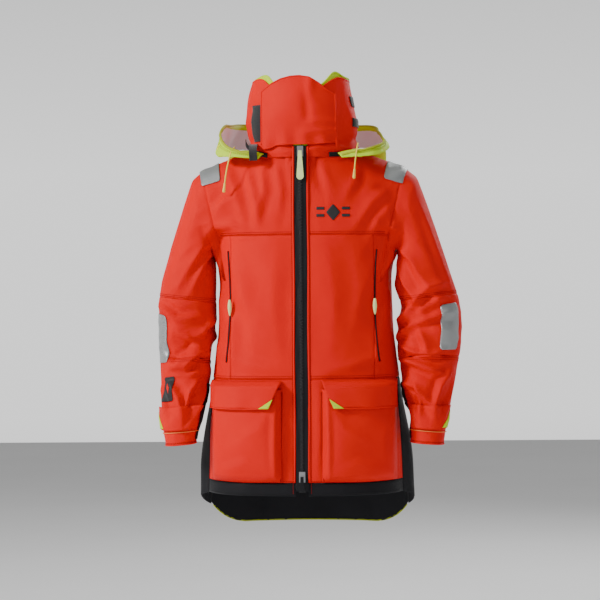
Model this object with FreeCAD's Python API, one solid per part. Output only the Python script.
"""Foul weather jacket in its worn shape, as separate garment panels and trims.

Row frame, millimetres: origin at the hanger loop inside the back of the neck, +Z up,
+X towards the wearer's left, -Y out of the front. Every cloth piece is a thin closed solid.
"""
import FreeCAD
import Part
import math
import os

V = FreeCAD.Vector

# ---- driving dimensions ----
CLOTH = 3.0            # modelled thickness of the laminated cloth with its lining
BODY_Y = -95.0         # the side seams' plane
ZIP_TOP_Z, ZIP_BOTTOM_Z = -14.0, -742.0
ZIP_TOP_Y, ZIP_BOTTOM_Y = -205.0, -247.0
YOKE_Z, WAIST_Z, BAND_Z, HEM_Z, TAIL_Z = -204.0, -506.0, -720.0, -748.0, -830.0
OPENING_HALF = 13.0    # half the gap between the front edges, filled by the zip
SEAM_X = 152.0         # front panel to side panel
NECK_Y = -100.0
NECK_A, NECK_B = 100.0, 92.0
SHOULDER_TIP = (216.0, -58.0)     # top of the armhole seam, x and z
UNDERARM = (180.0, -215.0)
SHOULDER_NECK_Z = -12.0           # height of the shoulder seam line at NECK_A
BODY_GAP = 1.5         # free room between pieces of different moving bodies
PIN_PROUD = 5.8        # how far a zip pull's pin stands in front of the zip line

# torso rings: height, half width, half depth behind the side seams
TORSO_RINGS = [
    (-840, 214, 150), (-748, 209, 148), (-620, 206, 146), (-506, 200, 142), (-400, 188, 138),
    (-300, 184, 136), (-215, 185, 132), (-150, 225, 122), (-100, 246, 108), (-60, 252, 92),
    (-20, 252, 78), (10, 252, 70),
]
# sleeve rings: outer point (x, z), inner point (x, z), centre y, half depth
SLEEVE_RINGS = [
    ((216, -58), (182, -214), -95, 74), ((245, -80), (198, -230), -95, 75),
    ((266, -150), (199, -247), -95, 72), ((290, -225), (198, -270), -96, 70),
    ((308, -288), (198, -304), -97, 69), ((321, -345), (199, -350), -98, 68),
    ((324, -399), (201, -399), -100, 66),
]
FOREARM_RINGS = [
    ((324, -402), (201, -402), -101, 66), ((318, -450), (203, -452), -108, 62),
    ((310, -508), (211, -505), -122, 56), ((306, -555), (221, -548), -135, 50),
    ((304, -598), (224, -590), -146, 46),
]
CUFF_RINGS = [
    ((304, -598), (224, -590), -146, 46), ((301, -622), (225, -616), -151, 44),
    ((297, -646), (227, -641), -156, 42),
]
SHAPES = {}


def keep(name, *solids):
    """Files one node's solids."""
    found = [s for shape in solids for s in shape.Solids]
    SHAPES[name] = Part.makeCompound(found) if len(found) > 1 else found[0]


def box(x0, x1, y0, y1, z0, z1):
    return Part.makeBox(x1 - x0, y1 - y0, z1 - z0, V(x0, y0, z0))


def power(value, exponent):
    return math.copysign(abs(value) ** exponent, value)


def closed_wire(points):
    curve = Part.BSplineCurve()
    curve.interpolate(Points=points, PeriodicFlag=True)
    return Part.Wire(curve.toShape())


def zip_y(z):
    """The straight line of the front edge, seen from the side."""
    share = (z - ZIP_TOP_Z) / (ZIP_BOTTOM_Z - ZIP_TOP_Z)
    return ZIP_TOP_Y + share * (ZIP_BOTTOM_Y - ZIP_TOP_Y)


def body_ring(z, half, back, grow, squareness=2.5, count=32):
    front = BODY_Y - zip_y(z)
    points = []
    for i in range(count):
        t = 2 * math.pi * i / count
        depth = (back if math.sin(t) > 0 else front) + grow
        points.append(V(power(math.cos(t), 2 / squareness) * (half + grow),
                        BODY_Y + power(math.sin(t), 2 / squareness) * depth, z))
    return closed_wire(points)


LOFTS = {}


def body_loft(grow):
    """The torso's outside, grown by a distance; each one is made once."""
    if grow not in LOFTS:
        LOFTS[grow] = Part.makeLoft([body_ring(z, a, b, grow) for z, a, b in TORSO_RINGS], True, False)
    return LOFTS[grow]


def oval(cx, cy, z, a, b, count=24, flat=2.0):
    points = [V(cx + power(math.cos(2 * math.pi * i / count), 2 / flat) * a,
                cy + power(math.sin(2 * math.pi * i / count), 2 / flat) * b, z) for i in range(count)]
    return closed_wire(points)


def above_shoulders(drop):
    """Everything over the shoulder lines, lowered by drop, to cut the torso's top off."""
    slope = (SHOULDER_NECK_Z - SHOULDER_TIP[1]) / (SHOULDER_TIP[0] - NECK_A)
    edge = [(0, SHOULDER_NECK_Z + slope * NECK_A - drop), (330, SHOULDER_NECK_Z - slope * (330 - NECK_A) - drop)]
    side = Part.makePolygon([V(edge[0][0], -400, edge[0][1]), V(edge[1][0], -400, edge[1][1]),
                             V(330, -400, 200), V(0, -400, 200), V(edge[0][0], -400, edge[0][1])])
    right = Part.Face(side).extrude(V(0, 600, 0))
    return right.fuse(mirror(right))


def mirror(shape):
    return shape.mirror(V(0, 0, 0), V(1, 0, 0))


def outside_armhole(gap):
    """The room beyond the left armhole's plane, where the sleeve is."""
    dx = (SHOULDER_TIP[0] - UNDERARM[0]) / (SHOULDER_TIP[1] - UNDERARM[1])
    low = UNDERARM[1] - 2
    corner = [(UNDERARM[0] - 2 * dx - gap, low), (UNDERARM[0] + 260 * dx - gap, UNDERARM[1] + 260)]
    wire = Part.makePolygon([V(corner[0][0], -400, corner[0][1]), V(corner[1][0], -400, corner[1][1]),
                             V(420, -400, corner[1][1]), V(420, -400, low), V(corner[0][0], -400, low)])
    return Part.Face(wire).extrude(V(0, 600, 0))


def torso_shell():
    outer = body_loft(0).cut(above_shoulders(0))
    inner = body_loft(-CLOTH).cut(above_shoulders(CLOTH))
    shell = outer.cut(inner)
    neck = Part.makeLoft([oval(0, NECK_Y, z, NECK_A, NECK_B + 8) for z in (-90, 60)], True, False)
    holes = [neck, outside_armhole(BODY_GAP), mirror(outside_armhole(BODY_GAP)),
             box(-OPENING_HALF, OPENING_HALF, -300, BODY_Y, -900, 60), box(-300, 300, -300, 200, -860, -834),
             box(-300, 300, -300, 200, SHOULDER_NECK_Z - 1, 100)]
    for hole in holes:
        shell = shell.cut(hole)
    return shell


def torso_panels(shell):
    """Cuts the shell along its seams into the panels that are sewn together."""
    far = 300
    for side, sign in (("left", 1), ("right", -1)):
        x = sorted((0, sign * far))
        front = sorted((0, sign * SEAM_X))
        flank = sorted((sign * SEAM_X, sign * far))
        keep("front_yoke_" + side, shell.common(box(*x, -far, BODY_Y, YOKE_Z, 60)))
        keep("front_body_" + side, shell.common(box(*front, -far, BODY_Y, WAIST_Z, YOKE_Z)))
        side_room = box(*flank, -far, BODY_Y + 70, WAIST_Z, YOKE_Z)
        keep("side_panel_" + side, shell.common(side_room))
        keep("front_skirt_" + side, shell.common(box(*x, -far, BODY_Y - 40, BAND_Z, WAIST_Z)))
        keep("hem_band_" + side, shell.common(box(*x, -far, BODY_Y - 40, HEM_Z, BAND_Z)))
        keep("side_skirt_" + side, shell.common(box(*flank, BODY_Y - 40, BODY_Y + 70, -790, WAIST_Z)))
    keep("back_yoke", shell.common(box(-far, far, BODY_Y, far, YOKE_Z, 60)))
    back = shell.common(box(-far, far, BODY_Y, far, WAIST_Z, YOKE_Z))
    for sign in (1, -1):
        back = back.cut(box(*sorted((sign * SEAM_X, sign * far)), -far, BODY_Y + 70, WAIST_Z, YOKE_Z))
    keep("back_body", back)
    tail = shell.common(box(-far, far, BODY_Y - 40, far, TAIL_Z, WAIST_Z))
    for sign in (1, -1):
        tail = tail.cut(box(*sorted((sign * SEAM_X, sign * far)), -far, BODY_Y + 70, -900, WAIST_Z))
        corner = Part.makeCylinder(90, 900, V(sign * 300, 300, -900), V(0, -1, 0))
        tail = tail.cut(corner)
    keep("back_tail", tail.common(box(-far, far, BODY_Y, far, -900, 0)))


def sleeve_ring(row, grow, count=24):
    """One closed ring of a left sleeve."""
    (ox, oz), (ix, iz), cy, depth = row
    half = math.hypot(ox - ix, oz - iz) / 2
    u = V((ox - ix) / (2 * half), 0, (oz - iz) / (2 * half))
    centre = V((ox + ix) / 2, cy, (oz + iz) / 2)
    points = []
    for i in range(count):
        t = 2 * math.pi * i / count
        points.append(centre + u * (power(math.cos(t), 0.9) * (half + grow))
                      + V(0, 1, 0) * (power(math.sin(t), 0.9) * (depth + grow)))
    return closed_wire(points)


def sleeve_tube(rows, grow=0.0, wall=CLOTH):
    outer = Part.makeLoft([sleeve_ring(r, grow) for r in rows], True, False)
    inner = Part.makeLoft([sleeve_ring(r, grow - wall) for r in rows], True, False)
    return outer.cut(inner)


def both_sides(name, shape):
    keep(name + "_left", shape)
    keep(name + "_right", mirror(shape))


def sleeves():
    upper = sleeve_tube(SLEEVE_RINGS)
    both_sides("upper_sleeve", upper)
    both_sides("forearm_sleeve", sleeve_tube(FOREARM_RINGS))
    both_sides("cuff", sleeve_tube(CUFF_RINGS))
    gaiter_rows = [((296, -560), (229, -554), -136, 40), ((292, -600), (236, -592), -146, 34),
                   ((286, -634), (240, -629), -154, 30)]
    both_sides("wrist_gaiter", sleeve_tube(gaiter_rows, 0, 2.5))
    # reflective patch on the upper arm's outer face, and the adjusting tab round the cuff
    patch = sleeve_tube(SLEEVE_RINGS, 1.2, 1.2).common(box(270, 400, BODY_Y - 34, BODY_Y + 4, -396, -300))
    both_sides("sleeve_reflector", patch)
    tab_rows = FOREARM_RINGS[-2:] + CUFF_RINGS[1:]
    tab = sleeve_tube(tab_rows, 3.2, 2.4).common(box(238, 400, -260, -150, -612, -566))
    both_sides("cuff_tab", tab)


def along_zip(x0, x1, z_low, z_high, proud_in, proud_out):
    """A straight bar that follows the front edge's line between two heights."""
    profile = [V(x0, zip_y(z_low) - proud_in, z_low), V(x0, zip_y(z_high) - proud_in, z_high),
               V(x0, zip_y(z_high) - proud_out, z_high), V(x0, zip_y(z_low) - proud_out, z_low)]
    return Part.Face(Part.makePolygon(profile + profile[:1])).extrude(V(x1 - x0, 0, 0))


def front_zip():
    low, high = ZIP_BOTTOM_Z + 4, ZIP_TOP_Z - 2
    tapes = [along_zip(x0, x1, low + 12, high, -2.6, -1.2) for x0, x1 in ((-OPENING_HALF, -3.2), (3.2, OPENING_HALF))]
    keep("zip_tapes", *tapes)
    chain = [along_zip(-3.0, 3.0, low + 24, high - 20, -3.2, 0.4)]
    keep("zip_teeth", *chain)
    keep("zip_box", along_zip(-7, 7, low - 2, low + 12, -5.2, -2.8).fuse(along_zip(-4.5, 4.5, low + 2, low + 12, -2.8, 1)))
    keep("storm_flap", along_zip(-32, 32, HEM_Z + 14, ZIP_TOP_Z - 6, -10.5, -7.5))


def pivot_point(z):
    """The middle of a slider's cross pin."""
    return V(0, zip_y(z) - PIN_PROUD, z)


def slider(z):
    """A slider body round the chain with running room, and the two lugs that its pull's pin turns in."""
    body = along_zip(-6.5, 6.5, z - 11, z + 11, 0.9, 3.4)
    for x in (-5.0, 3.2):
        body = body.fuse(along_zip(x, x + 1.8, z - 9, z + 9, -0.7, 0.9))
    at = pivot_point(z)
    for x in (-3.6, 2.2):
        body = body.fuse(box(x, x + 1.4, at.y - 2.2, at.y + 2.6, z - 2.3, z + 2.3))
    return body.cut(Part.makeCylinder(1.05, 12, at + V(-6, 0, 0), V(1, 0, 0)))


def pull(z, length, top_width, foot_width, thick=2.4):
    """A flat pull tab with a stem and the cross pin that turns in the slider's lugs."""
    at = pivot_point(z)
    top = at + V(0, -3.4, 0)
    outline = [(-top_width / 2, 1), (top_width / 2, 1), (foot_width / 2, -length + foot_width / 2),
               (-foot_width / 2, -length + foot_width / 2)]
    wire = Part.makePolygon([V(x, top.y, top.z + dz) for x, dz in outline + outline[:1]])
    tab = Part.Face(wire).extrude(V(0, -thick, 0))
    foot = Part.makeCylinder(foot_width / 2, thick, V(0, top.y - thick, top.z - length + foot_width / 2), V(0, 1, 0))
    tab = tab.fuse(foot)
    pin = Part.makeCylinder(1.0, 7.2, at + V(-3.6, 0, 0), V(1, 0, 0))
    stem = box(-1.6, 1.6, top.y - 0.1, at.y, at.z - 0.9, at.z + 0.9)
    return tab.fuse(stem).fuse(pin)


def sliders():
    keep("main_slider", slider(ZIP_TOP_Z - 14))
    keep("main_pull", pull(ZIP_TOP_Z - 14, 60, 7, 15))
    keep("lower_slider", slider(ZIP_BOTTOM_Z + 34))
    keep("lower_pull", pull(ZIP_BOTTOM_Z + 34, 30, 6, 8))


POCKET_X = (42.0, 196.0)
POCKET_Z = (-718.0, -532.0)
POCKET_DEEP = 26.0
FLAP_Z = (-563.0, -509.0)


def pockets():
    """Bellows pockets on the front skirts, open at the top under a flap."""
    skin = body_loft(0)
    block = body_loft(POCKET_DEEP).cut(skin)
    room = body_loft(POCKET_DEEP - CLOTH).cut(body_loft(2.0))
    outer = block.common(box(POCKET_X[0], POCKET_X[1], -300, BODY_Y - 42, *POCKET_Z))
    hollow = room.common(box(POCKET_X[0] + 3, POCKET_X[1] - 3, -300, BODY_Y - 45, POCKET_Z[0] + 4, -500))
    both_sides("cargo_pocket", outer.cut(hollow))
    cover = body_loft(POCKET_DEEP + 1.5 + CLOTH).cut(body_loft(POCKET_DEEP + 1.5))
    flap = cover.common(box(POCKET_X[0] + 2, POCKET_X[1] - 1, -300, BODY_Y - 44, *FLAP_Z))
    bevel = Part.Face(Part.makePolygon([V(38, -300, FLAP_Z[0] - 1), V(70, -300, FLAP_Z[0] - 1), V(43, -300, FLAP_Z[1] + 1),
                                        V(38, -300, FLAP_Z[1] + 1), V(38, -300, FLAP_Z[0] - 1)])).extrude(V(0, 200, 0))
    both_sides("pocket_flap", flap.cut(bevel))


def hand_pocket_zips():
    """Welded zips in the seams between front and side panels, with a small hi-vis puller each."""
    ribbon = body_loft(1.4).cut(body_loft(0.2))
    strip = ribbon.common(box(SEAM_X - 4, SEAM_X + 4, -300, BODY_Y - 20, -470, -235))
    keep("hand_pocket_zips", strip, mirror(strip))
    puller = body_loft(5.0).cut(body_loft(2.0)).common(box(SEAM_X - 4, SEAM_X + 4, -300, BODY_Y - 20, -372, -338))
    both_sides("hand_pocket_puller", puller)


def collar_level(z, grow):
    """Half width and half depth of the collar at a height."""
    levels = [(-40, 104, 100), (-10, 116, 102), (40, 120, 104), (90, 110, 102), (134, 101, 98)]
    for (z0, a0, b0), (z1, a1, b1) in zip(levels, levels[1:]):
        if z <= z1:
            share = (z - z0) / (z1 - z0)
            return a0 + share * (a1 - a0) + grow, b0 + share * (b1 - b0) + grow
    return levels[-1][1] + grow, levels[-1][2] + grow


def collar_loft(grow, low, high, steps=5):
    heights = [low + (high - low) * i / (steps - 1) for i in range(steps)]
    return Part.makeLoft([oval(0, NECK_Y, z, *collar_level(z, grow), flat=2.2) for z in heights], True, False)


def collar_tube(grow, wall, low, high):
    return collar_loft(grow, low, high).cut(collar_loft(grow - wall, low - 2, high + 2))


GUARD_HINGE_X = 74.0


def collar():
    """A tall stand-up collar with its lining, and the face guard that closes over its front."""
    base_z, top_z, front_z = -8.0, 130.0, 104.0
    scoop = Part.makeCylinder(90, 120, V(0, NECK_Y - 140, front_z + 80), V(0, 1, 0))
    shell = collar_tube(0, 2.6, base_z, top_z).cut(scoop)
    lining = collar_tube(-3.2, 2.0, base_z, top_z).cut(scoop)
    slit = box(-4, 4, -400, NECK_Y, base_z - 5, 40)
    keep("collar_shell", shell.cut(slit))
    keep("collar_lining", lining.cut(slit))
    keep("neck_binding", Part.makeLoft([oval(0, NECK_Y, z, NECK_A + 14.5, NECK_B + 10) for z in (-12.8, -8.2)], True, False)
         .cut(Part.makeLoft([oval(0, NECK_Y, z, NECK_A, NECK_B) for z in (-20, 0)], True, False))
         .cut(box(-16, 16, -400, NECK_Y, -30, 20)))
    guard = collar_tube(5.0, 3.0, -6, 134).common(box(-86, GUARD_HINGE_X, -300, NECK_Y - 30, -6, 134))
    crown = Part.makeCylinder(104, 120, V(0, NECK_Y - 160, 30), V(0, 1, 0))
    guard = guard.common(crown.fuse(box(-100, 100, -300, 0, -60, 60)))
    keep("face_guard", guard)
    strips = [collar_tube(1.4, 1.2, -2, 134).common(room) for room in (
        box(-112, -90, -220, NECK_Y - 8, -4, 74), box(90, 125, -170, NECK_Y - 12, 20, 40),
        box(90, 125, -160, NECK_Y - 12, 70, 90))]
    keep("collar_loop_tapes", *strips)
    tapes = Part.makeTorus(11, 1.6, V(0, -9.0, 5), V(0, 1, 0), 0, 360)
    keep("hanger_loop", tapes.common(box(-20, 20, -20, 10, -30, 8)))


HOOD_PIVOT = V(0, -152, -42)
HOOD_CENTRE = V(0, -5, 30)
HOOD_RADII = (174.0, 150.0, 190.0)


def ellipsoid(grow):
    ball = Part.makeSphere(1.0)
    matrix = FreeCAD.Matrix()
    matrix.scale(V(*[r + grow for r in HOOD_RADII]))
    ball = ball.transformGeometry(matrix)
    ball.translate(HOOD_CENTRE)
    return ball


def hood():
    """The hood folded back: a bag open upwards, lying round the collar and down the back."""
    rim = box(-400, 400, -400, 400, -400, 0)
    rim.rotate(V(0, 0, 0), V(1, 0, 0), 8)
    rim.translate(V(0, -152, 0))
    rim = rim.common(box(-400, 400, -400, 400, -400, 60))
    torso_room = body_loft(4.0).cut(above_shoulders(-4.0))
    sweep = Part.makeCylinder(236, 256, HOOD_PIVOT + V(-128, 0, 0), V(1, 0, 0))
    front = box(-400, 400, -500, -152, -400, 400)
    sleeve_room = box(196, 400, -400, 400, -400, 400)

    def layer(outer, inner):
        shape = ellipsoid(outer).cut(ellipsoid(inner)).common(rim)
        for cutter in (torso_room, sweep, front, sleeve_room, mirror(sleeve_room)):
            shape = shape.cut(cutter)
        return max(shape.Solids, key=lambda s: s.Volume) if len(shape.Solids) > 1 else shape
    keep("hood_shell", layer(0, -2.4))
    keep("hood_lining", layer(-2.8, -4.4))


# drawcord routes from the hood's corner down the chest; each ends in a moulded tip
CORD_D = 3.0
CORD_LEFT = [(121, -193, -12), (120, -202, -17), (118.5, -206, -29), (116.5, -207, -42), (114.5, -207.5, -56),
             (113.5, -208, -70)]
CORD_RIGHT = [(-141, -178, -16), (-144, -190, -21), (-147.5, -198, -29), (-151, -200.5, -43), (-155, -200.5, -60),
              (-158.5, -200, -78), (-160.5, -200, -95)]


def rounded_route(points):
    """Straight runs joined by tangent arcs as large as the runs allow, with the radii printed."""
    pts = [V(*p) for p in points]
    edges, start, radii = [], pts[0], []
    for before, at, after in zip(pts, pts[1:], pts[2:]):
        run_in, run_out = (before - at), (after - at)
        shorter = min(run_in.Length, run_out.Length)
        d_in, d_out = run_in.normalize(), run_out.normalize()
        turn = math.pi - d_in.getAngle(d_out)
        cut = 0.45 * shorter
        radii.append(round(cut / math.tan(turn / 2), 1))
        first, last = at + d_in * cut, at + d_out * cut
        middle = (d_in + d_out).normalize()
        radius = cut / math.tan(turn / 2)
        centre = at + middle * math.hypot(radius, cut)
        edges.append(Part.makeLine(start, first))
        edges.append(Part.Arc(first, centre - middle * radius, last).toShape())
        start = last
    edges.append(Part.makeLine(start, pts[-1]))
    print("cord radii", radii)
    return Part.Wire(edges)


def drawcords():
    for side, route in (("left", CORD_LEFT), ("right", CORD_RIGHT)):
        path = rounded_route(route)
        start, first = V(*route[0]), V(*route[1])
        circle = Part.Wire(Part.makeCircle(CORD_D / 2, start, first - start))
        tube = path.makePipeShell([circle], True, False)
        print("cord", side, "length", round(path.Length, 1), "volume ratio",
              round(tube.Volume / (math.pi * CORD_D ** 2 / 4 * path.Length), 4))
        keep("drawcord_" + side, tube)
        end, before = V(*route[-1]), V(*route[-2])
        way = (end - before).normalize()
        tip = Part.makeCone(2.2, 3.4, 14, end, way).fuse(Part.makeSphere(3.4, end + way * 14))
        keep("cord_tip_" + side, tip)


def trims():
    """Reflective shoulder patches and the plain emblem on the chest."""
    layer = body_loft(1.6).cut(above_shoulders(-1.6)).cut(body_loft(0.2).cut(above_shoulders(-0.2)))
    patch = layer.common(box(164, 207, -200, BODY_Y + 30, -120, 40))
    patch = patch.cut(outside_armhole(BODY_GAP + 1))
    keep("shoulder_reflectors", patch, mirror(patch))
    emblem = body_loft(1.2).cut(body_loft(0.2)).common(box(44, 116, -300, BODY_Y, -176, -138))
    keep("chest_emblem", emblem)


def main():
    shell = torso_shell()
    torso_panels(shell)
    sleeves()
    front_zip()
    sliders()
    pockets()
    hand_pocket_zips()
    collar()
    hood()
    drawcords()
    trims()
    os.makedirs("parts", exist_ok=True)
    for old in os.listdir("parts"):
        os.remove(os.path.join("parts", old))
    for name, shape in SHAPES.items():
        bad = [s for s in shape.Solids if not s.isValid() or s.Volume <= 0]
        if bad or not shape.Solids:
            print("BAD", name, len(shape.Solids), len(bad))
        shape.exportStep(os.path.join("parts", name + ".step"))
    print(len(SHAPES), "nodes")


main()
